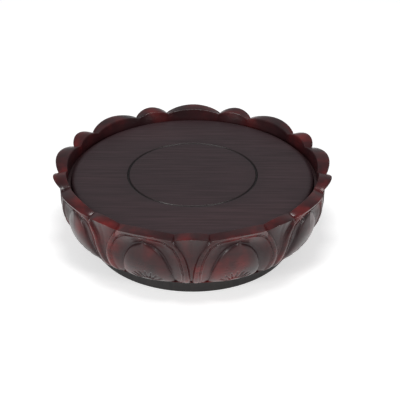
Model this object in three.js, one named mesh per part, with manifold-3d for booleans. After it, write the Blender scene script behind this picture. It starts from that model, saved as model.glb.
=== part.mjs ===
import * as THREE from 'three';
import { mergeVertices } from 'three/addons/utils/BufferGeometryUtils.js';
import Module from 'manifold-3d';

// Round wooden vase stand: a carved ring of lotus petals on a recessed foot, with a turned panel in a rebate.
// Millimetres, +Z up, origin on the floor under the centre of the stand. The back of the stand is +Y.

const wasm = await Module();
wasm.setup();

// Petal ring, outside: radii step inwards from the petal tips
const TIP_RADIUS = 100;
const RIM_HEIGHT = 60.1;
const VALLEY_DEPTH = 4.4;
const VALLEY_INSET = 4.4;
const LIP_FLARE = 5;
const LIP_DROP = 0.3;
const LIP_ROUNDING = 2.6;
const LOBE_ROUNDNESS = 0.75;
const PETAL_BASE_HEIGHT = 15.4;
const BELLY_RISE = 24.5;
const BELLY_SWELL = 11.4;
const BELLY_FULLNESS = 0.66;

// Petal ring, inside
const RIM_WIDTH = 6.3;
const INNER_ARRIS_FLARE = 1.2;
const INNER_ARRIS_DROP = 2.5;
const REBATE_SETBACK = 2;
const LEDGE_WIDTH = 25.3;
const QUIRK_WIDTH = 2.1;
const QUIRK_DEPTH = 4.2;

// Lotus petals
const PETALS = 9;
const LARGE_LOBE_HALF_ANGLE = 12.5;
const SMALL_BASE_HALF_ANGLE = 0.2;
const SMALL_PETAL_LENGTH = 22;
const SMALL_PETAL_CURVE = 1.3;
const SMALL_PETAL_RECESS = 1.5;
const BAND_WIDTH = 5.4;
const BAND_ROUNDING = 0.7;
const CHANNEL_DEPTH = 2.7;
const CHANNEL_WIDTH = 8;
const CHANNEL_START = 0.3;
const DOME_HALF_WIDTH = 18;
const DOME_TOP_DROP = 10.5;
const DOME_SPRING_RISE = 4.6;
const PETAL_STEPS = 22;
const WALL_ROWS = 11;

// Panel
const DISH_DEPTH = 6.4;
const PANEL_THICKNESS = 9;
const PANEL_EDGE_WIDTH = 4.1;
const PANEL_EDGE_DROP = 2.2;
const CIRCLE_RADIUS = 46.1;
const CIRCLE_WIDTH = 1.4;
const CIRCLE_DEPTH = 1.1;
const PANEL_SIDES = 72;
const EDGE_STEPS = 4;

// Foot ring
const FOOT_INSET = 11.4;
const FOOT_WIDTH = 14.2;
const FOOT_WAIST_DEPTH = 1.2;
const FOOT_TOP_FLARE = 4.8;
const FOOT_CHAMFER = 0.8;
const FOOT_WAIST_SHARE = 0.45;
const FOOT_FLARE_SHARE = 0.78;
const FOOT_FLARE_START = 0.35;
const FOOT_STEPS = 8;

// Hidden joinery
const SPLINE_WIDTH = 6;
const SPLINE_LENGTH = 12;
const SPLINE_COVER = 4.4;
const SPLINE_RISE = 4.6;
const SPLINE_SETBACK = 12;
const DOWEL_DIAMETER = 6;
const DOWEL_LENGTH = 16;
const DOWEL_ANGLE = 10;
const DOWEL_SETBACK = 4.5;
const DOWEL_SIDES = 16;
const BATTEN_WIDTH = 18;
const BATTEN_THICKNESS = 8;
const BATTEN_SPACING = 64;
const SCREW_DIAMETER = 3.5;
const SCREW_HEAD_DIAMETER = 7;
const SCREW_HEAD_HEIGHT = 2.2;
const SCREW_LENGTH = 13;
const SCREW_END_DISTANCE = 11;
const SCREWS_PER_BATTEN = 3;
const SCREW_SIDES = 12;

// Clearances
const GLUE_GAP = 0.3;
const PANEL_CLEARANCE = 0.6;
const BATTEN_END_CLEARANCE = 2;

// Sizes that follow
const RAD = Math.PI / 180;
const PITCH = 360 / PETALS;
const SMALL_LOBE_HALF_ANGLE = PITCH / 2 - LARGE_LOBE_HALF_ANGLE;
const VALLEY_HEIGHT = RIM_HEIGHT - VALLEY_DEPTH;
const BELLY_HEIGHT = PETAL_BASE_HEIGHT + BELLY_RISE;
const PETAL_BASE_RADIUS = TIP_RADIUS - LIP_FLARE - BELLY_SWELL;
const DOME_TOP_HEIGHT = RIM_HEIGHT - DOME_TOP_DROP;
const DOME_SPRING_HEIGHT = PETAL_BASE_HEIGHT + DOME_SPRING_RISE;
const INNER_ARRIS_RADIUS = TIP_RADIUS - VALLEY_INSET - RIM_WIDTH;
const REBATE_RADIUS = INNER_ARRIS_RADIUS - REBATE_SETBACK;
const BORE_RADIUS = REBATE_RADIUS - LEDGE_WIDTH;
const PANEL_TOP_HEIGHT = RIM_HEIGHT - DISH_DEPTH;
const PANEL_UNDERSIDE = PANEL_TOP_HEIGHT - PANEL_THICKNESS;
const PANEL_RADIUS = REBATE_RADIUS - PANEL_CLEARANCE;
const PANEL_FLAT_RADIUS = PANEL_RADIUS - PANEL_EDGE_WIDTH;
const LEDGE_HEIGHT = PANEL_UNDERSIDE - GLUE_GAP;
const QUIRK_HEIGHT = PANEL_TOP_HEIGHT - QUIRK_DEPTH;
const FOOT_TOP_HEIGHT = PETAL_BASE_HEIGHT - GLUE_GAP;
const FOOT_FLOOR_RADIUS = PETAL_BASE_RADIUS - FOOT_INSET;
const FOOT_WAIST_RADIUS = FOOT_FLOOR_RADIUS - FOOT_WAIST_DEPTH;
const FOOT_TOP_RADIUS = FOOT_FLOOR_RADIUS + FOOT_TOP_FLARE;
const FOOT_BORE_RADIUS = FOOT_FLOOR_RADIUS - FOOT_WIDTH;
const SPLINE_RADIUS = BORE_RADIUS + SPLINE_SETBACK;
const SPLINE_BASE_HEIGHT = PETAL_BASE_HEIGHT + SPLINE_RISE;
const SPLINE_HEIGHT = LEDGE_HEIGHT - SPLINE_COVER - SPLINE_BASE_HEIGHT;
const DOWEL_CENTRE_RADIUS = BORE_RADIUS + DOWEL_SETBACK;
const DOWEL_BASE_HEIGHT = FOOT_TOP_HEIGHT - DOWEL_LENGTH / 2;
const BATTEN_REACH = (BATTEN_SPACING + BATTEN_WIDTH) / 2;
const BATTEN_LENGTH = 2 * Math.sqrt((BORE_RADIUS - BATTEN_END_CLEARANCE) ** 2 - BATTEN_REACH ** 2);
const BATTEN_TOP = PANEL_UNDERSIDE - GLUE_GAP;
const BATTEN_UNDERSIDE = BATTEN_TOP - BATTEN_THICKNESS;
const SCREW_SPACING = (BATTEN_LENGTH - 2 * SCREW_END_DISTANCE) / (SCREWS_PER_BATTEN - 1);

const MATERIALS = {
  carved: new THREE.MeshStandardMaterial({ color: 0x4a2220, roughness: 0.32, metalness: 0 }),
  panel: new THREE.MeshStandardMaterial({ color: 0x40352f, roughness: 0.45, metalness: 0 }),
  foot: new THREE.MeshStandardMaterial({ color: 0x261c1a, roughness: 0.5, metalness: 0 }),
  inner: new THREE.MeshStandardMaterial({ color: 0x8a6a48, roughness: 0.7, metalness: 0 }),
  brass: new THREE.MeshStandardMaterial({ color: 0xb08d4a, roughness: 0.35, metalness: 1 }),
};

const stand = new THREE.Group();

const clamp01 = (t) => Math.min(1, Math.max(0, t));
const smooth = (t) => clamp01(t) ** 2 * (3 - 2 * clamp01(t));

// Height of the scalloped rim as a share of the valley depth, 0 in a valley and 1 on a lobe.
function lobe(angle) {
  const a = Math.abs(angle);
  const inLarge = a <= LARGE_LOBE_HALF_ANGLE;
  const u = inLarge ? a / LARGE_LOBE_HALF_ANGLE : (PITCH / 2 - a) / SMALL_LOBE_HALF_ANGLE;
  return Math.max(0, Math.cos((u * Math.PI) / 2)) ** LOBE_ROUNDNESS;
}

// Radius of the uncarved outer wall: a swelling belly that flares again under the lip.
function bellyRadius(z) {
  const t = clamp01((z - PETAL_BASE_HEIGHT) / (BELLY_HEIGHT - PETAL_BASE_HEIGHT));
  const flare = Math.max(0, (z - BELLY_HEIGHT) / (RIM_HEIGHT - BELLY_HEIGHT));
  const swell = BELLY_SWELL * Math.sin((t * Math.PI) / 2) ** BELLY_FULLNESS;
  return PETAL_BASE_RADIUS + swell + LIP_FLARE * flare ** 2;
}

// Half angle of the large petal: a lobe at the rim that widens downwards as the small petal beside it tapers.
function largeHalfAngle(z) {
  const below = Math.max(0, VALLEY_HEIGHT - z);
  const taper = Math.max(0, 1 - below / SMALL_PETAL_LENGTH) ** SMALL_PETAL_CURVE;
  return PITCH / 2 - SMALL_BASE_HALF_ANGLE - (SMALL_LOBE_HALF_ANGLE - SMALL_BASE_HALF_ANGLE) * taper;
}

// Depth of the carving under the uncarved wall, at an angle from the middle of the large petal.
function carvingDepth(angle, z, rimZ) {
  const across = Math.abs(angle) * RAD * bellyRadius(z);
  const edge = largeHalfAngle(z) * RAD * bellyRadius(z) - across;
  if (edge < 0) {
    return SMALL_PETAL_RECESS * smooth(-edge / SMALL_PETAL_RECESS) + BAND_ROUNDING;
  }
  const fromOutline = Math.min(edge, rimZ - z);
  const rise = Math.max(0, (z - DOME_SPRING_HEIGHT) / (DOME_TOP_HEIGHT - DOME_SPRING_HEIGHT));
  const dome = Math.hypot(across / DOME_HALF_WIDTH, rise);
  const bandSide = BAND_ROUNDING * (1 - Math.sin(Math.PI * clamp01(fromOutline / BAND_WIDTH)));
  const channel = CHANNEL_DEPTH * smooth((fromOutline - BAND_WIDTH) / CHANNEL_WIDTH + CHANNEL_START);
  const crown = CHANNEL_DEPTH * Math.sqrt(Math.max(0, 1 - dome ** 2));
  return Math.max(bandSide * (fromOutline < BAND_WIDTH ? 1 : 0), channel - crown);
}

// Outline of the ring cut through at one angle, as radius and height, round its wall, lip, rebate and bore.
function ringSection(angle) {
  const raise = lobe(angle);
  const lipZ = VALLEY_HEIGHT + (VALLEY_DEPTH - LIP_DROP) * raise;
  const lipR = TIP_RADIUS - VALLEY_INSET * (1 - raise);
  const points = [];
  for (let row = 0; row < WALL_ROWS; row += 1) {
    const share = row / WALL_ROWS;
    const z = PETAL_BASE_HEIGHT + (lipZ - PETAL_BASE_HEIGHT) * share;
    const inset = (bellyRadius(lipZ) - lipR) * share ** 4;
    points.push([bellyRadius(z) - inset - carvingDepth(angle, z, lipZ) * smooth(row), z]);
  }
  points.push([lipR, lipZ]);
  points.push([lipR - LIP_ROUNDING, lipZ + LIP_DROP * raise]);
  points.push([INNER_ARRIS_RADIUS + INNER_ARRIS_FLARE * raise, RIM_HEIGHT - INNER_ARRIS_DROP * (1 - raise)]);
  points.push([REBATE_RADIUS + QUIRK_WIDTH, QUIRK_HEIGHT]);
  points.push([REBATE_RADIUS, QUIRK_HEIGHT]);
  points.push([REBATE_RADIUS, LEDGE_HEIGHT]);
  points.push([BORE_RADIUS, LEDGE_HEIGHT]);
  points.push([BORE_RADIUS, PETAL_BASE_HEIGHT]);
  return points;
}

// Closed body swept round the axis through a section that may change with the angle, capped at both ends.
function sector(sectionAt, fromAngle, toAngle, steps) {
  const sections = [];
  for (let step = 0; step <= steps; step += 1) {
    sections.push(sectionAt(fromAngle + ((toAngle - fromAngle) * step) / steps));
  }
  const count = sections[0].length;
  const positions = [];
  sections.forEach((section, step) => {
    const angle = (fromAngle + ((toAngle - fromAngle) * step) / steps) * RAD;
    section.forEach(([r, z]) => positions.push(r * Math.sin(angle), r * Math.cos(angle), z));
  });
  const index = [];
  for (let step = 0; step < steps; step += 1) {
    for (let i = 0; i < count; i += 1) {
      const a = step * count + i;
      const b = step * count + ((i + 1) % count);
      index.push(a, b, a + count);
      index.push(b, b + count, a + count);
    }
  }
  const capAt = (step, flip) => {
    const outline = sections[step].map(([r, z]) => new THREE.Vector2(r, z));
    THREE.ShapeUtils.triangulateShape(outline, []).forEach(([a, b, c]) => {
      const corners = flip ? [a, c, b] : [a, b, c];
      index.push(...corners.map((corner) => corner + step * count));
    });
  };
  capAt(0, true);
  capAt(steps, false);
  const geometry = new THREE.BufferGeometry();
  geometry.setAttribute('position', new THREE.Float32BufferAttribute(positions, 3));
  geometry.setIndex(index);
  return geometry;
}

// Boolean helpers
function solid(geometry) {
  const bare = geometry.clone();
  bare.deleteAttribute('normal');
  bare.deleteAttribute('uv');
  const merged = mergeVertices(bare, 1e-4);
  return new wasm.Manifold(new wasm.Mesh({
    numProp: 3,
    vertProperties: Float32Array.from(merged.attributes.position.array),
    triVerts: Uint32Array.from(merged.index.array),
  }));
}

function geometryOf(body) {
  const mesh = body.getMesh();
  const geometry = new THREE.BufferGeometry();
  geometry.setAttribute('position', new THREE.BufferAttribute(mesh.vertProperties, 3));
  geometry.setIndex(new THREE.BufferAttribute(mesh.triVerts, 1));
  return geometry;
}

function cut(geometry, cutters) {
  return geometryOf(cutters.reduce((body, tool) => body.subtract(solid(tool)), solid(geometry)));
}

function uprightCylinder(radius, height, x, y, baseZ, sides) {
  const geometry = new THREE.CylinderGeometry(radius, radius, height, sides);
  geometry.rotateX(Math.PI / 2);
  geometry.translate(x, y, baseZ + height / 2);
  return geometry;
}

function place(name, geometry, material, angle = 0) {
  const mesh = new THREE.Mesh(geometry, material);
  mesh.name = name;
  mesh.rotation.z = -angle * RAD;
  stand.add(mesh);
}

// Loose tongue that crosses the glue joint between two blocks of the ring.
function splineBox(angle, clearance) {
  const geometry = new THREE.BoxGeometry(
    SPLINE_LENGTH + 2 * clearance,
    SPLINE_WIDTH + 2 * clearance,
    SPLINE_HEIGHT + 2 * clearance,
  );
  geometry.translate(0, SPLINE_RADIUS, SPLINE_BASE_HEIGHT + SPLINE_HEIGHT / 2);
  geometry.rotateZ(-angle * RAD);
  return geometry;
}

function dowel(angle, clearance) {
  const x = DOWEL_CENTRE_RADIUS * Math.sin(angle * RAD);
  const y = DOWEL_CENTRE_RADIUS * Math.cos(angle * RAD);
  const radius = DOWEL_DIAMETER / 2 + clearance;
  const height = DOWEL_LENGTH + 2 * clearance;
  return uprightCylinder(radius, height, x, y, DOWEL_BASE_HEIGHT - clearance, DOWEL_SIDES);
}

// Petal ring: nine equal blocks with a pocket in each end for the splines and a dowel hole below.
function buildPetalRing() {
  const halfAngle = PITCH / 2 - GLUE_GAP / 2 / (BORE_RADIUS * RAD);
  const block = sector(ringSection, -halfAngle, halfAngle, PETAL_STEPS);
  const pockets = [splineBox(-PITCH / 2, GLUE_GAP), splineBox(PITCH / 2, GLUE_GAP)];
  const geometry = cut(block, [...pockets, dowel(DOWEL_ANGLE, GLUE_GAP)]);
  for (let i = 0; i < PETALS; i += 1) {
    place(`petal_segment_${i + 1}`, geometry, MATERIALS.carved, i * PITCH);
    place(`ring_spline_${i + 1}`, splineBox(0, 0), MATERIALS.inner, (i + 0.5) * PITCH);
  }
}

// Foot ring: a plain moulding with its joints halfway between those of the petal ring.
function footSection() {
  const flareRadius = FOOT_WAIST_RADIUS + (FOOT_TOP_RADIUS - FOOT_WAIST_RADIUS) * FOOT_FLARE_START;
  return [
    [FOOT_BORE_RADIUS, 0],
    [FOOT_FLOOR_RADIUS - FOOT_CHAMFER, 0],
    [FOOT_FLOOR_RADIUS, FOOT_CHAMFER],
    [FOOT_WAIST_RADIUS, FOOT_TOP_HEIGHT * FOOT_WAIST_SHARE],
    [flareRadius, FOOT_TOP_HEIGHT * FOOT_FLARE_SHARE],
    [FOOT_TOP_RADIUS, FOOT_TOP_HEIGHT],
    [FOOT_BORE_RADIUS, FOOT_TOP_HEIGHT],
  ];
}

function buildFoot() {
  const halfAngle = PITCH / 2 - GLUE_GAP / 2 / (FOOT_BORE_RADIUS * RAD);
  const felloe = sector(footSection, -halfAngle, halfAngle, FOOT_STEPS);
  const geometry = cut(felloe, [dowel(DOWEL_ANGLE - PITCH / 2, GLUE_GAP)]);
  for (let i = 0; i < PETALS; i += 1) {
    place(`foot_felloe_${i + 1}`, geometry, MATERIALS.foot, (i + 0.5) * PITCH);
    place(`foot_dowel_${i + 1}`, dowel(DOWEL_ANGLE, 0), MATERIALS.inner, i * PITCH);
  }
}

// Panel: a turned board with a rounded edge and an incised circle, held flat by two battens.
function screwPlaces() {
  const places = [];
  for (const side of [-1, 1]) {
    for (let i = 0; i < SCREWS_PER_BATTEN; i += 1) {
      places.push([(side * BATTEN_SPACING) / 2, (i - (SCREWS_PER_BATTEN - 1) / 2) * SCREW_SPACING]);
    }
  }
  return places;
}

function screw(x, y, clearance) {
  const profile = [
    new THREE.Vector2(0, -clearance),
    new THREE.Vector2(SCREW_HEAD_DIAMETER / 2 + clearance, -clearance),
    new THREE.Vector2(SCREW_DIAMETER / 2 + clearance, SCREW_HEAD_HEIGHT),
    new THREE.Vector2(SCREW_DIAMETER / 2 + clearance, SCREW_LENGTH + clearance),
    new THREE.Vector2(0, SCREW_LENGTH + clearance),
  ];
  const geometry = new THREE.LatheGeometry(profile, SCREW_SIDES);
  geometry.rotateX(Math.PI / 2);
  geometry.translate(x, y, BATTEN_UNDERSIDE);
  return geometry;
}

function buildPanel() {
  const edgeZ = PANEL_TOP_HEIGHT - PANEL_EDGE_DROP;
  const groove = CIRCLE_WIDTH / 2;
  const profile = [
    [0, PANEL_UNDERSIDE],
    [PANEL_RADIUS, PANEL_UNDERSIDE],
    [PANEL_RADIUS, edgeZ],
  ];
  for (let i = 1; i <= EDGE_STEPS; i += 1) {
    const turn = (i / EDGE_STEPS) * (Math.PI / 2);
    profile.push([
      PANEL_FLAT_RADIUS + (PANEL_RADIUS - PANEL_FLAT_RADIUS) * Math.cos(turn),
      edgeZ + PANEL_EDGE_DROP * Math.sin(turn),
    ]);
  }
  profile.push([CIRCLE_RADIUS + groove, PANEL_TOP_HEIGHT]);
  profile.push([CIRCLE_RADIUS, PANEL_TOP_HEIGHT - CIRCLE_DEPTH]);
  profile.push([CIRCLE_RADIUS - groove, PANEL_TOP_HEIGHT]);
  profile.push([0, PANEL_TOP_HEIGHT]);
  const board = new THREE.LatheGeometry(profile.map(([r, z]) => new THREE.Vector2(r, z)), PANEL_SIDES);
  board.rotateX(Math.PI / 2);
  const holes = screwPlaces().map(([x, y]) => screw(x, y, GLUE_GAP));
  place('top_panel', cut(board, holes), MATERIALS.panel);
  [-1, 1].forEach((side, i) => {
    const batten = new THREE.BoxGeometry(BATTEN_WIDTH, BATTEN_LENGTH, BATTEN_THICKNESS);
    batten.translate((side * BATTEN_SPACING) / 2, 0, BATTEN_TOP - BATTEN_THICKNESS / 2);
    place(`panel_batten_${i + 1}`, cut(batten, holes), MATERIALS.inner);
  });
  screwPlaces().forEach(([x, y], i) => place(`batten_screw_${i + 1}`, screw(x, y, 0), MATERIALS.brass));
}

buildPetalRing();
buildFoot();
buildPanel();

export default stand;
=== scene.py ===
import math

import bpy
import numpy as np
from mathutils import Euler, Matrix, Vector


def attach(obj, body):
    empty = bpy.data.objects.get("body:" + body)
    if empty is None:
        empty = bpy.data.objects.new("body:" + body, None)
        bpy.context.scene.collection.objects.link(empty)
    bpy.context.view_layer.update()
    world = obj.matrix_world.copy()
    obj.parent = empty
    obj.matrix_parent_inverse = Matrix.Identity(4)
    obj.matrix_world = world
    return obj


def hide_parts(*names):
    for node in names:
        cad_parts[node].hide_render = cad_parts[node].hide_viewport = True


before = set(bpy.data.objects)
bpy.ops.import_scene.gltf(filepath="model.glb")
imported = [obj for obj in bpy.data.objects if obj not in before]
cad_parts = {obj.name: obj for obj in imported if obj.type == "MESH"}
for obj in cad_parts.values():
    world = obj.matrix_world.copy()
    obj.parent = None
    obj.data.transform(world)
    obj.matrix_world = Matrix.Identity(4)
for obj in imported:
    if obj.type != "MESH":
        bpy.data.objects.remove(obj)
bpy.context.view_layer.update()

MM = 0.001
RAD = math.pi / 180

# Petal ring, in millimetres, on the same driving sizes as the solid blocks
TIP_RADIUS = 100.0
RIM_HEIGHT = 60.1
PETAL_BASE_HEIGHT = 15.4
PETAL_BASE_RADIUS = 83.6
BELLY_HEIGHT = 39.9
BELLY_SWELL = 11.4
BELLY_FULLNESS = 0.66
VALLEY_DEPTH = 4.4
VALLEY_INSET = 4.4
LIP_DROP = 0.3
LIP_ROUNDING = 2.2
LOBE_ROUNDNESS = 0.75
INNER_ARRIS_RADIUS = 89.3
INNER_ARRIS_FLARE = 1.2
INNER_ARRIS_DROP = 2.5
BORE_RADIUS = 62.0
REBATE_RADIUS = 87.3
LEDGE_HEIGHT = 44.4
QUIRK_RADIUS = 89.4
QUIRK_HEIGHT = 49.5

# Lotus petals
PETALS = 9
PITCH = 360 / PETALS
LARGE_LOBE = 12.5              # half width of a large lobe of the rim, in degrees
SMALL_LOBE = PITCH / 2 - LARGE_LOBE
SMALL_BASE = 0.2               # half width of a small petal at its foot, in degrees
SMALL_REACH = 12.0             # how far below the rim a small petal has nearly closed
SMALL_CURVE = 1.25
BAND_WIDTH = 5.4
BAND_TOP_RISE = 1.8            # the band's outer edge runs this much above the lip
BAND_CORNER = 6.0
BAND_LINE_AT = 4.6
BAND_LINE_WIDTH = 0.45
BAND_LINE_DEPTH = 0.6
CHANNEL_DEPTH = 3.2
CHANNEL_STEP = 0.35            # share of the depth in the step beside the band
CHANNEL_STEP_WIDTH = 1.2
CHANNEL_SLOPE_WIDTH = 8.0
DOME_HALF_WIDTH = 18.0
DOME_TOP = 49.0
DOME_SPRING = 20.0
DOME_TIP = 2.4
DOME_TIP_WIDTH = 1.6
DOME_PROUD = 0.1
DOME_SQUARENESS = 2.4
DOME_FULLNESS = 0.45
UNDERCUT_DEPTH = 0.5
UNDERCUT_AT = 1.03
UNDERCUT_WIDTH = 0.8
UNDERCUT_FROM = 22.0
UNDERCUT_FADE = 10.0
OUTLINE_GROOVE = 1.6
OUTLINE_GROOVE_WIDTH = 0.9
SMALL_RECESS = 1.5
SMALL_RECESS_WIDTH = 1.6
SMALL_LEVEL = 0.5
PETAL_BLEND = 0.5
CREASE_DEPTH = 0.3
CREASE_WIDTH = 1.6
STROKES = 7
STROKE_FAN = 19.0
STROKE_START = 5.0
STROKE_LENGTH = 9.5
STROKE_WIDTH = 0.75
STROKE_HEAD = 1.25             # width of a stroke at its start, and how much of it is lost by its end
STROKE_TAPER = 0.7
STROKE_RUN_IN = 6
STROKE_RUN_OUT = 3
STROKE_DEPTH = 1.3
STROKE_CENTRE_HEIGHT = 13.5

# Unevenness of hand work
TOOL_WAVE = 0.07
WAVES = 6
WAVE_RANGE = (0.08, 0.5)       # radians per millimetre
WAVE_PHASE = 6.28
LEAN = 0.5
DOME_SPREAD = 0.03
DOME_SHIFT = 0.4
SEAM_FADE = 5                  # degrees beside a glue joint in which the unevenness dies out
# cap on the painted shade that the carving's depth gives
PAINTED_SHADE_CAP = 1.2

# Edges of the wall, and painted shade on the inside of the rim, the lip's top and the quirk
LIP_TUCK = 4                   # power that keeps the lip's inset near the top
FOOT_FADE = (60, 0.15)         # steepness and start of the fade of the carving at the foot and at the lip
LIP_FADE = (25, 0.1)
BLOCK_ROUNDINGS = (0, 0.7, 1.0, 0.8, 0.3, 0.3, 0, 0.5, 0.5, 0)
CORNER_SHARE = 0.45            # of the shorter side, the most that a rounded corner takes
# painted shade on the rim's inner rows: full in the quirk and below it, less inside the rim, least on the
# lip's top
QUIRK_SHADE_HEIGHT = 2
QUIRK_PAINTED_SHADE = 1.0
INSIDE_SHADE_REACH = 1.5
INSIDE_PAINTED_SHADE = 0.55
LIP_PAINTED_SHADE = 0.25

# Mesh density
ANGLE_STEPS = 150
WALL_ROWS = 150
CORNER_STEPS = 4
SEAM_MARGIN = 0.01
SHARP_ANGLE = 55
PANEL_STEPS = 288
PANEL_EDGE_STEPS = 10
FOOT_STEPS = 36
FOOT_ROWS = 10

# Panel and foot
PANEL_TOP = 53.7
PANEL_UNDERSIDE = 44.7
PANEL_RADIUS = 86.7
PANEL_FLAT_RADIUS = 82.6
PANEL_EDGE_DROP = 2.2
PANEL_CHAMFER = 0.5
PANEL_INNER_RINGS = (35, 20)
PANEL_OUTER_RINGS = (75, 65, 55)
PANEL_UNDERSIDE_RING = 30
CIRCLE_RADIUS = 46.1
CIRCLE_WIDTH = 1.7
CIRCLE_DEPTH = 1.1
CIRCLE_SHAPE = (0.4, 4)        # half width as a share of the width, and how square the cut is
CIRCLE_ROWS = (0.75, 0.6, 0.5, 0.42, 0.34, 0.2, 0, -0.2, -0.34, -0.42, -0.5, -0.6, -0.75)
# width of the painted shade along the incised circle
CIRCLE_SHADE_WIDTH = 0.95
FOOT_FLOOR_RADIUS = 72.2
FOOT_WAIST_RADIUS = 71.0
FOOT_TOP_RADIUS = 77.0
FOOT_BORE_RADIUS = 58.0
FOOT_TOP_HEIGHT = 15.1
FOOT_BORE_CHAMFER = 0.4
FOOT_EDGE_HEIGHT = 0.8
FOOT_EDGE_BEND = (0.2, 0.25)
FOOT_WAIST_SHARE = 0.8
FOOT_WAIST_HIGH = 1.1
FOOT_FLARE = 3


def smooth(t):
    t = np.clip(t, 0, 1)
    return t * t * (3 - 2 * t)


def bell(x, width):
    return np.exp(-(x / width) ** 2)


def lobe(angle):
    """Height of the scalloped rim above its valleys, from 0 to 1."""
    a = np.abs(angle)
    u = np.where(a <= LARGE_LOBE, a / LARGE_LOBE, (PITCH / 2 - a) / SMALL_LOBE)
    return np.maximum(0, np.cos(u * math.pi / 2)) ** LOBE_ROUNDNESS


def belly_radius(z):
    t = np.clip((z - PETAL_BASE_HEIGHT) / (BELLY_HEIGHT - PETAL_BASE_HEIGHT), 0, 1)
    flare = np.maximum(0, (z - BELLY_HEIGHT) / (RIM_HEIGHT - BELLY_HEIGHT))
    lip = TIP_RADIUS - PETAL_BASE_RADIUS - BELLY_SWELL
    return PETAL_BASE_RADIUS + BELLY_SWELL * np.sin(t * math.pi / 2) ** BELLY_FULLNESS + lip * flare ** 2


def large_half_angle(z):
    below = np.maximum(0, RIM_HEIGHT - VALLEY_DEPTH - z)
    taper = np.exp(-(below / SMALL_REACH) ** SMALL_CURVE)
    return PITCH / 2 - SMALL_BASE - (SMALL_LOBE - SMALL_BASE) * taper


def soft_min(a, b, k):
    h = np.clip(0.5 + 0.5 * (b - a) / k, 0, 1)
    return b * (1 - h) + a * h - k * h * (1 - h)


def hand_wave(across, z, rng):
    """Shallow unevenness that a carver's gouges leave."""
    wave = np.zeros_like(z)
    for _ in range(WAVES):
        fx, fz, phase = rng.uniform(*WAVE_RANGE), rng.uniform(*WAVE_RANGE), rng.uniform(0, WAVE_PHASE)
        wave += np.sin(across * fx + z * fz + phase) / WAVES
    return wave


def carving(angle, z, rim_z, rng):
    """Depth of the carving under the plain wall, and the painted shade that this depth gives each place, on
    a grid.
    """
    across = angle * RAD * belly_radius(z)
    side = large_half_angle(z) * RAD * belly_radius(z) - np.abs(across)
    edge = soft_min(side, rim_z - z + BAND_TOP_RISE, BAND_CORNER)
    window = smooth((PITCH / 2 - np.abs(angle)) / SEAM_FADE)
    lean = rng.uniform(-LEAN, LEAN) * window
    spread = 1 + rng.uniform(-DOME_SPREAD, DOME_SPREAD) * window
    x = across - lean
    shift = rng.uniform(-DOME_SHIFT, DOME_SHIFT) * window
    top = DOME_TOP + shift + DOME_TIP * np.exp(-np.abs(x) / DOME_TIP_WIDTH)
    rise = np.maximum(0, (z - DOME_SPRING) / (top - DOME_SPRING))
    dome = np.hypot(x / (DOME_HALF_WIDTH * spread), rise)

    groove = OUTLINE_GROOVE * bell(side, OUTLINE_GROOVE_WIDTH)
    band = 0.5 * (1 - np.sin(math.pi * np.clip(edge / BAND_WIDTH, 0, 1)))
    line = BAND_LINE_DEPTH * bell(edge - BAND_LINE_AT, BAND_LINE_WIDTH)
    step = smooth((edge - BAND_WIDTH) / CHANNEL_STEP_WIDTH)
    slope = smooth((edge - BAND_WIDTH) / CHANNEL_SLOPE_WIDTH)
    channel = CHANNEL_DEPTH * (CHANNEL_STEP * step + (1 - CHANNEL_STEP) * slope)
    crown = (CHANNEL_DEPTH + DOME_PROUD) * np.maximum(0, 1 - dome ** DOME_SQUARENESS) ** DOME_FULLNESS
    undercut = UNDERCUT_DEPTH * bell((dome - UNDERCUT_AT) * DOME_HALF_WIDTH, UNDERCUT_WIDTH)
    undercut = undercut * smooth((z - UNDERCUT_FROM) / UNDERCUT_FADE)
    strokes = np.zeros_like(z)
    for i in range(STROKES):
        fan = (i - (STROKES - 1) / 2) * STROKE_FAN * RAD
        u = x * math.cos(fan) - (z - STROKE_CENTRE_HEIGHT) * math.sin(fan)
        v = x * math.sin(fan) + (z - STROKE_CENTRE_HEIGHT) * math.cos(fan)
        along = (v - STROKE_START) / STROKE_LENGTH
        width = STROKE_WIDTH * (STROKE_HEAD - STROKE_TAPER * np.clip(along, 0, 1))
        ends = smooth(along * STROKE_RUN_IN) * smooth((1 - along) * STROKE_RUN_OUT)
        strokes += STROKE_DEPTH * bell(u, width) * ends
    large = np.where(edge < BAND_WIDTH, band + line, channel + line + undercut - crown)
    large = large + np.where(dome < 1, strokes, 0)
    crease = CREASE_DEPTH * bell((PITCH / 2 - np.abs(angle)) * RAD * belly_radius(z), CREASE_WIDTH)
    small = SMALL_RECESS * smooth(-side / SMALL_RECESS_WIDTH) + SMALL_LEVEL + crease
    blend = smooth(side / PETAL_BLEND + 0.5)
    depth = large * blend + small * (1 - blend) + groove
    depth += TOOL_WAVE * hand_wave(x, z, rng) * window
    # painted shade: darker where the carving is deeper, up to a cap
    painted_shade = np.clip(depth / CHANNEL_DEPTH, 0, PAINTED_SHADE_CAP)
    return depth, painted_shade


def rounded(corners, radii):
    """Section lines with each corner turned into a short curve.

    Each corner is a pair (radius, height) of arrays that hold one value per angle."""
    rows = []
    count = len(corners)
    for i in range(count):
        point = np.stack(corners[i], axis=-1)
        if radii[i] == 0 or i in (0, count - 1):
            rows.append(point)
            continue
        before = np.stack(corners[i - 1], axis=-1) - point
        after = np.stack(corners[i + 1], axis=-1) - point
        reach = [np.linalg.norm(d, axis=-1, keepdims=True) for d in (before, after)]
        cut = [np.minimum(radii[i], n * CORNER_SHARE) for n in reach]
        start = point + before / reach[0] * cut[0]
        end = point + after / reach[1] * cut[1]
        for k in range(CORNER_STEPS + 1):
            t = k / CORNER_STEPS
            rows.append(start * (1 - t) ** 2 + point * 2 * t * (1 - t) + end * t * t)
    return rows


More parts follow.
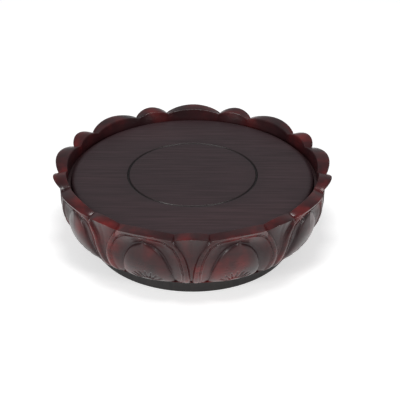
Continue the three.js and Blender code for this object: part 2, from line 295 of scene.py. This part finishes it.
def petal_block(index):
    """One block of the ring as a fine mesh: carved wall, scalloped lip, flared inside and rebate."""
    rng = np.random.default_rng(100 + index)
    half = PITCH / 2 - SEAM_MARGIN
    angle = np.linspace(-half, half, ANGLE_STEPS + 1)
    raise_ = lobe(angle)
    lip_z = RIM_HEIGHT - VALLEY_DEPTH + (VALLEY_DEPTH - LIP_DROP) * raise_
    lip_r = TIP_RADIUS - VALLEY_INSET * (1 - raise_)
    share = (np.arange(WALL_ROWS) / WALL_ROWS)[:, None]
    z = PETAL_BASE_HEIGHT + (lip_z - PETAL_BASE_HEIGHT) * share
    depth, painted_shade = carving(np.broadcast_to(angle, z.shape), z, lip_z, rng)
    inset = (belly_radius(lip_z) - lip_r) * share ** LIP_TUCK
    edge_fade = smooth(share * FOOT_FADE[0] + FOOT_FADE[1]) * smooth((1 - share) * LIP_FADE[0] + LIP_FADE[1])
    wall_r = belly_radius(z) - inset - depth * edge_fade
    one = np.ones_like(angle)
    top = [
        (lip_r, lip_z),
        (lip_r - LIP_ROUNDING, lip_z + LIP_DROP * raise_),
        (INNER_ARRIS_RADIUS + INNER_ARRIS_FLARE * raise_, RIM_HEIGHT - INNER_ARRIS_DROP * (1 - raise_)),
        (QUIRK_RADIUS * one, QUIRK_HEIGHT * one),
        (REBATE_RADIUS * one, QUIRK_HEIGHT * one),
        (REBATE_RADIUS * one, LEDGE_HEIGHT * one),
        (BORE_RADIUS * one, LEDGE_HEIGHT * one),
        (BORE_RADIUS * one, PETAL_BASE_HEIGHT * one),
    ]
    corners = [(wall_r[-1], z[-1])] + top + [(wall_r[0], z[0])]
    tail = rounded(corners, BLOCK_ROUNDINGS)[1:-1]
    profile = [np.stack([wall_r[i], z[i]], axis=-1) for i in range(WALL_ROWS)] + tail
    grid = np.stack(profile)                       # row, angle, (r, z)
    turn = (angle + index * PITCH) * RAD
    xs = grid[:, :, 0] * np.sin(turn) * MM
    ys = grid[:, :, 0] * np.cos(turn) * MM
    zs = grid[:, :, 1] * MM
    n_rows, n_cols = xs.shape
    verts = np.stack([xs, ys, zs], axis=-1).reshape(-1, 3)
    faces = []
    for r in range(n_rows):
        a = r * n_cols
        b = ((r + 1) % n_rows) * n_cols
        faces += [(a + c, a + c + 1, b + c + 1, b + c) for c in range(n_cols - 1)]
    faces.append([r * n_cols for r in range(n_rows)])
    faces.append([r * n_cols + n_cols - 1 for r in reversed(range(n_rows))])
    # painted shade per vertex: from the carving's depth on the wall, set amounts on the lip's top, inside
    # the rim and in the quirk
    painted_shade_all = np.zeros((n_rows, n_cols))
    painted_shade_all[:WALL_ROWS] = painted_shade * edge_fade
    beyond = grid[WALL_ROWS:]
    quirk = beyond[:, :, 1] < QUIRK_HEIGHT + QUIRK_SHADE_HEIGHT
    inside = beyond[:, :, 0] < INNER_ARRIS_RADIUS + INSIDE_SHADE_REACH
    painted_shade_all[WALL_ROWS:] = np.where(quirk, QUIRK_PAINTED_SHADE, np.where(inside, INSIDE_PAINTED_SHADE, LIP_PAINTED_SHADE))
    return make_mesh(f"carved_petal_block_{index + 1}", verts, faces, {"painted_shade": painted_shade_all.ravel()})


def make_mesh(name, verts, faces, attributes=None):
    mesh = bpy.data.meshes.new(name)
    mesh.from_pydata([tuple(v) for v in verts], [], faces)
    for key, values in (attributes or {}).items():
        layer = mesh.attributes.new(key, "FLOAT", "POINT")
        layer.data.foreach_set("value", np.asarray(values, np.float32))
    for polygon in mesh.polygons:
        polygon.use_smooth = len(polygon.vertices) < 5
    mesh.update()
    mesh.set_sharp_from_angle(angle=SHARP_ANGLE * RAD)
    obj = bpy.data.objects.new(name, mesh)
    bpy.context.scene.collection.objects.link(obj)
    return obj


def turned(name, profile, steps, start=0.0, end=360.0, painted_shade=None, flat_ends=False):
    """A turned piece: a profile of (radius, height) swept round the axis, whole or as a sector.

    With flat_ends the first and last points are the rims of two flat discs that close a whole piece."""
    whole = end - start >= 360
    count = len(profile)
    columns = steps if whole else steps + 1
    verts = []
    for c in range(columns):
        a = (start + (end - start) * c / steps) * RAD
        verts += [(r * math.sin(a) * MM, r * math.cos(a) * MM, z * MM) for r, z in profile]
    faces = []
    for c in range(steps):
        a = c * count
        b = ((c + 1) % columns) * count
        spans = range(count - 1) if flat_ends else range(count)
        faces += [(a + i, a + (i + 1) % count, b + (i + 1) % count, b + i) for i in spans]
    if flat_ends:
        faces.append([c * count for c in range(columns)])
        faces.append([c * count + count - 1 for c in reversed(range(columns))])
    if not whole:
        faces.append([i for i in reversed(range(count))])
        faces.append([(columns - 1) * count + i for i in range(count)])
    attributes = {"painted_shade": list(painted_shade) * columns} if painted_shade else None
    return make_mesh(name, verts, [tuple(reversed(f)) for f in faces], attributes)


def arc(centre, radius, start, end, steps):
    """Points on an elliptical arc of a profile, with the angles in degrees."""
    angles = [math.radians(start + (end - start) * i / steps) for i in range(steps + 1)]
    return [(centre[0] + radius[0] * math.cos(a), centre[1] + radius[1] * math.sin(a)) for a in angles]


def panel_piece():
    """The turned board, with its rounded edge and the incised circle."""
    edge = (PANEL_RADIUS - PANEL_FLAT_RADIUS, PANEL_EDGE_DROP)
    half, square = CIRCLE_SHAPE
    groove = [(CIRCLE_RADIUS + CIRCLE_WIDTH * t, PANEL_TOP - CIRCLE_DEPTH * math.exp(-(t / half) ** square))
              for t in CIRCLE_ROWS]
    profile = [
        (PANEL_UNDERSIDE_RING, PANEL_UNDERSIDE),
        (PANEL_RADIUS - PANEL_CHAMFER, PANEL_UNDERSIDE),
        (PANEL_RADIUS, PANEL_UNDERSIDE + PANEL_CHAMFER),
    ]
    profile += arc((PANEL_FLAT_RADIUS, PANEL_TOP - PANEL_EDGE_DROP), edge, 0, 90, PANEL_EDGE_STEPS)
    profile += [(r, PANEL_TOP) for r in PANEL_OUTER_RINGS] + groove
    profile += [(r, PANEL_TOP) for r in PANEL_INNER_RINGS]
    # painted shade along the incised circle, kept off the underside
    tone = [math.exp(-((r - CIRCLE_RADIUS) / CIRCLE_SHADE_WIDTH) ** 2) for r, z in profile]
    dark = [t if z > PANEL_TOP - PANEL_EDGE_DROP else 0 for t, (r, z) in zip(tone, profile)]
    return turned("turned_panel", profile, PANEL_STEPS, painted_shade=dark, flat_ends=True)


def foot_piece(index):
    """One block of the foot ring, with its softened floor edge, its waist and its flare under the petals."""
    bend_in, bend_up = FOOT_EDGE_BEND
    profile = [
        (FOOT_BORE_RADIUS, FOOT_BORE_CHAMFER),
        (FOOT_BORE_RADIUS + FOOT_BORE_CHAMFER, 0.0),
        (FOOT_FLOOR_RADIUS - FOOT_EDGE_HEIGHT, 0.0),
        (FOOT_FLOOR_RADIUS - bend_in, bend_up),
        (FOOT_FLOOR_RADIUS, FOOT_EDGE_HEIGHT),
    ]
    for i in range(1, FOOT_ROWS + 1):
        t = i / FOOT_ROWS
        waist = (FOOT_FLOOR_RADIUS - FOOT_WAIST_RADIUS) * math.sin(math.pi * min(1, t * FOOT_WAIST_HIGH))
        flare = (FOOT_TOP_RADIUS - FOOT_FLOOR_RADIUS) * t ** FOOT_FLARE
        radius = FOOT_FLOOR_RADIUS + flare - waist * FOOT_WAIST_SHARE
        profile.append((radius, FOOT_EDGE_HEIGHT + (FOOT_TOP_HEIGHT - FOOT_EDGE_HEIGHT) * t))
    profile.append((FOOT_BORE_RADIUS, FOOT_TOP_HEIGHT))
    centre = (index + 0.5) * PITCH
    half = PITCH / 2 - SEAM_MARGIN
    return turned(f"foot_block_{index + 1}", profile, FOOT_STEPS, centre - half, centre + half)


# Tones in 8-bit screen values, with their place on the noise that spreads them
CARVED_TONES = ((0.34, (44, 19, 21)), (0.5, (72, 23, 25)), (0.66, (118, 32, 31)))
CARVED_GRAIN = ((0.3, (150, 130, 126)), (0.7, (255, 255, 255)))
# painted shade colour for the carving's recesses, the lip's top, the inside of the rim and the quirk
CARVED_PAINTED_SHADE = (38, 17, 20)
PANEL_TONES = ((0.3, (50, 32, 36)), (0.55, (57, 37, 41)), (0.75, (64, 42, 45)))
PANEL_PORES = ((0.38, (196, 186, 186)), (0.62, (255, 255, 255)))
# painted shade colour for the incised circle
PANEL_GROOVE_SHADE = (16, 12, 12)
BRASS_TONES = ((0.3, (150, 118, 66)), (0.7, (196, 160, 96)))
FOOT_TONES = ((16, 12, 12), (28, 20, 19))
HIDDEN_TONES = ((112, 78, 52), (150, 110, 76))
FLOOR_TONE = (232, 232, 231)

# Strengths of the grain, the painted shade and the polish
CARVED_GRAIN_SHARE = 0.55
CARVED_PAINTED_SHADE_SHARE = 0.8
CARVED_ROUGHNESS = 0.2
CARVED_GRAIN_ROUGHNESS = 0.14
CARVED_HOLLOW_ROUGHNESS = 0.16
CARVED_COAT = 0.15
CARVED_COAT_ROUGHNESS = 0.1
CARVED_SPECULAR = 0.3
PANEL_PORE_SHARE = 0.75
PANEL_ROUGHNESS = (0.52, 0.38)
BRASS_ROUGHNESS = (0.45, 0.3)
FOOT_ROUGHNESS = (0.6, 0.42)
HIDDEN_ROUGHNESS = (0.75, 0.55)


# Materials
def srgb(r, g, b):
    """A colour from its 8-bit screen values."""
    def linear(v):
        v = v / 255
        return v / 12.92 if v <= 0.04045 else ((v + 0.055) / 1.055) ** 2.4
    return (linear(r), linear(g), linear(b), 1)


class Nodes:
    """Small helper for building a node material line by line."""

    def __init__(self, name):
        self.material = bpy.data.materials.new(name)
        self.material.use_nodes = True
        self.tree = self.material.node_tree
        self.tree.nodes.clear()
        self.output = self.add("ShaderNodeOutputMaterial")
        self.shader = self.add("ShaderNodeBsdfPrincipled")
        self.link(self.shader, "BSDF", self.output, "Surface")
        self.place = self.add("ShaderNodeTexCoord")

    def add(self, kind, **settings):
        node = self.tree.nodes.new(kind)
        for key, value in settings.items():
            setattr(node, key, value)
        return node

    def link(self, a, out, b, into):
        self.tree.links.new(a.outputs[out], b.inputs[into])

    def noise(self, scale, stretch, detail, roughness=0.55):
        mapping = self.add("ShaderNodeMapping")
        mapping.inputs["Scale"].default_value = stretch
        self.link(self.place, "Object", mapping, "Vector")
        noise = self.add("ShaderNodeTexNoise")
        noise.inputs["Scale"].default_value = scale
        noise.inputs["Detail"].default_value = detail
        noise.inputs["Roughness"].default_value = roughness
        self.link(mapping, "Vector", noise, "Vector")
        return noise

    def tones(self, source, stops):
        return self.ramp(source, "Fac", [(place, srgb(*tone)) for place, tone in stops])

    def ramp(self, source, out, stops):
        ramp = self.add("ShaderNodeValToRGB")
        elements = ramp.color_ramp.elements
        while len(elements) < len(stops):
            elements.new(0.5)
        for element, (position, colour) in zip(elements, stops):
            element.position = position
            element.color = colour
        self.link(source, out, ramp, "Fac")
        return ramp

    def mix(self, factor, a, b, blend="MIX"):
        mix = self.add("ShaderNodeMix", data_type="RGBA", blend_type=blend)
        if isinstance(factor, (int, float)):
            mix.inputs[0].default_value = factor
        else:
            self.tree.links.new(factor, mix.inputs[0])
        for socket, value in ((6, a), (7, b)):
            if isinstance(value, tuple):
                mix.inputs[socket].default_value = value
            else:
                self.tree.links.new(value, mix.inputs[socket])
        return mix.outputs[2]

    def maths(self, operation, a, b=0.0, clamp=False):
        node = self.add("ShaderNodeMath", operation=operation, use_clamp=clamp)
        for i, value in enumerate((a, b)):
            if isinstance(value, (int, float)):
                node.inputs[i].default_value = value
            else:
                self.tree.links.new(value, node.inputs[i])
        return node.outputs[0]

    def bump(self, height, strength, distance):
        bump = self.add("ShaderNodeBump")
        bump.inputs["Strength"].default_value = strength
        bump.inputs["Distance"].default_value = distance
        self.tree.links.new(height, bump.inputs["Height"])
        self.link(bump, "Normal", self.shader, "Normal")

    def colour(self, socket):
        self.tree.links.new(socket, self.shader.inputs["Base Color"])

    def roughness(self, socket):
        self.tree.links.new(socket, self.shader.inputs["Roughness"])

    def varied_roughness(self, source, ends):
        """Roughness that runs from the first of two values to the second as the noise rises."""
        stops = [(place, (value,) * 3 + (1,)) for place, value in zip((0.3, 0.7), ends)]
        self.roughness(self.ramp(source, "Fac", stops).outputs[0])


def carved_material():
    """Polished dark red hardwood in redder and darker patches, duller in the hollows, with painted shade
    darkening the hollows, the quirk, the inside of the rim and the lip's top.
    """
    n = Nodes("carved_rosewood")
    grain = n.noise(260, (0.35, 0.35, 1.6), 6)
    patches = n.noise(42, (1, 1, 0.8), 3)
    body = n.tones(patches, CARVED_TONES)
    fine = n.tones(grain, CARVED_GRAIN)
    wood = n.mix(CARVED_GRAIN_SHARE, body.outputs[0], fine.outputs[0], "MULTIPLY")
    painted_shade = n.add("ShaderNodeAttribute", attribute_name="painted_shade")
    # painted shade: the wood is darkened towards the shade colour where the attribute is high
    painted_shade_amount = n.maths("MULTIPLY", painted_shade.outputs["Fac"], CARVED_PAINTED_SHADE_SHARE, clamp=True)
    n.colour(n.mix(painted_shade_amount, wood, srgb(*CARVED_PAINTED_SHADE)))
    rough = n.maths("MULTIPLY_ADD", grain.outputs["Fac"], CARVED_GRAIN_ROUGHNESS)
    duller = n.maths("MULTIPLY", painted_shade.outputs["Fac"], CARVED_HOLLOW_ROUGHNESS)
    rough.node.inputs[2].default_value = CARVED_ROUGHNESS
    n.roughness(n.maths("ADD", rough, duller))
    n.bump(grain.outputs["Fac"], 0.10, 0.0004)
    n.shader.inputs["Coat Weight"].default_value = CARVED_COAT
    n.shader.inputs["Coat Roughness"].default_value = CARVED_COAT_ROUGHNESS
    n.shader.inputs["Specular IOR Level"].default_value = CARVED_SPECULAR
    return n.material


def panel_material():
    """Satin dark brown board with fine straight pores that run from left to right, and painted shade in the
    incised circle.
    """
    n = Nodes("panel_rosewood")
    figure = n.noise(26, (0.25, 1, 1), 4)
    pores = n.noise(520, (0.045, 1, 1), 5, 0.6)
    body = n.tones(figure, PANEL_TONES)
    streak = n.tones(pores, PANEL_PORES)
    wood = n.mix(PANEL_PORE_SHARE, body.outputs[0], streak.outputs[0], "MULTIPLY")
    # painted shade in the incised circle
    painted_shade = n.add("ShaderNodeAttribute", attribute_name="painted_shade")
    n.colour(n.mix(painted_shade.outputs["Fac"], wood, srgb(*PANEL_GROOVE_SHADE)))
    n.varied_roughness(pores, PANEL_ROUGHNESS)
    n.bump(pores.outputs["Fac"], 0.16, 0.0003)
    return n.material


def plain_wood(name, tones, roughness):
    """Straight-grained wood for the foot and the hidden pieces."""
    n = Nodes(name)
    grain = n.noise(300, (1, 1, 0.15), 5)
    n.colour(n.tones(grain, ((0.32, tones[0]), (0.68, tones[1]))).outputs[0])
    n.varied_roughness(grain, roughness)
    n.bump(grain.outputs["Fac"], 0.2, 0.0003)
    return n.material


def brass_material():
    n = Nodes("screw_brass")
    marks = n.noise(900, (1, 1, 1), 3)
    n.colour(n.tones(marks, BRASS_TONES).outputs[0])
    n.varied_roughness(marks, BRASS_ROUGHNESS)
    n.shader.inputs["Metallic"].default_value = 1.0
    return n.material


def dress(piece, material, slot, *nodes):
    piece.data.materials.append(material)
    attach(piece, "root")
    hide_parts(*nodes)


def dress_solids():
    """Materials on the solids that stay as they are."""
    hidden = plain_wood("hidden_wood", HIDDEN_TONES, HIDDEN_ROUGHNESS)
    brass = brass_material()
    for name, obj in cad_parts.items():
        if name.startswith(("ring_spline", "foot_dowel", "panel_batten")):
            obj.data.materials.clear()
            obj.data.materials.append(hidden)
        elif name.startswith("batten_screw"):
            obj.data.materials.clear()
            obj.data.materials.append(brass)


# Camera, floor and light
CAMERA_PLACE = (5.47, -839.3, 524.1)
CAMERA_TARGET = (5.47, 0.0, 31.68)
CAMERA_LENS = 120.5
CAMERA_ROLL = 0.28
SENSOR_WIDTH = 36.0
NEAREST = 0.01
LIGHT_AIM = (0, 0, 0.04)
LIGHTS = (                     # name, place in metres, size in metres, power in watts
    ("overhead", (0.0, -0.3, 1.2), (0.3, 0.3), 5),
    ("front_left", (-0.75, -0.85, 0.5), (0.2, 0.35), 5),
    ("front_right", (0.8, -0.9, 0.6), (0.2, 0.3), 4),
)
FLOOR_HALF_SIZE = 3.0
FLOOR_GLOW = 0.5
FLOOR_ROUGHNESS = 0.9
WORLD_COLOUR = (0.9, 0.92, 0.95, 1)
WORLD_STRENGTH = 0.36


def make_camera():
    data = bpy.data.cameras.new("camera")
    data.lens = CAMERA_LENS
    data.sensor_width = SENSOR_WIDTH
    data.clip_start = NEAREST
    camera = bpy.data.objects.new("camera", data)
    place = Vector(CAMERA_PLACE) * MM
    look = Vector(CAMERA_TARGET) * MM - place
    turn = look.to_track_quat("-Z", "Y").to_matrix().to_4x4()
    turn = turn @ Euler((0, 0, CAMERA_ROLL * RAD)).to_matrix().to_4x4()
    turn.translation = place
    camera.matrix_world = turn
    bpy.context.scene.collection.objects.link(camera)
    bpy.context.scene.camera = camera


def area_light(name, place, size, power):
    data = bpy.data.lights.new(name, "AREA")
    data.shape = "RECTANGLE"
    data.size, data.size_y = size
    data.energy = power
    lamp = bpy.data.objects.new(name, data)
    lamp.location = place
    lamp.rotation_euler = (Vector(LIGHT_AIM) - Vector(place)).to_track_quat("-Z", "Y").to_euler()
    bpy.context.scene.collection.objects.link(lamp)


def floor_material():
    """Pale matt floor that looks white to the camera and keeps the shadow."""
    n = Nodes("pale_floor")
    n.shader.inputs["Base Color"].default_value = srgb(*FLOOR_TONE)
    n.shader.inputs["Roughness"].default_value = FLOOR_ROUGHNESS
    path = n.add("ShaderNodeLightPath")
    seen = n.maths("MAXIMUM", path.outputs["Is Camera Ray"], path.outputs["Is Glossy Ray"])
    seen = n.maths("MAXIMUM", seen, path.outputs["Is Transmission Ray"])
    n.shader.inputs["Emission Color"].default_value = (1, 1, 1, 1)
    n.tree.links.new(n.maths("MULTIPLY", seen, FLOOR_GLOW), n.shader.inputs["Emission Strength"])
    return n.material


def make_stage():
    size = FLOOR_HALF_SIZE
    corners = [(-size, -size, 0), (size, -size, 0), (size, size, 0), (-size, size, 0)]
    floor = make_mesh("floor", corners, [(0, 1, 2, 3)])
    floor.data.materials.append(floor_material())
    world = bpy.data.worlds.new("studio")
    world.use_nodes = True
    background = world.node_tree.nodes["Background"]
    background.inputs["Color"].default_value = WORLD_COLOUR
    background.inputs["Strength"].default_value = WORLD_STRENGTH
    bpy.context.scene.world = world
    for light in LIGHTS:
        area_light(*light)
    bpy.context.scene.view_settings.view_transform = "Standard"


make_camera()
make_stage()
carved = carved_material()
foot_wood = plain_wood("foot_wood", FOOT_TONES, FOOT_ROUGHNESS)
for block in range(PETALS):
    dress(petal_block(block), carved, "carved_wood", f"petal_segment_{block + 1}")
    dress(foot_piece(block), foot_wood, "foot_wood", f"foot_felloe_{block + 1}")
dress(panel_piece(), panel_material(), "panel_wood", "top_panel")
dress_solids()
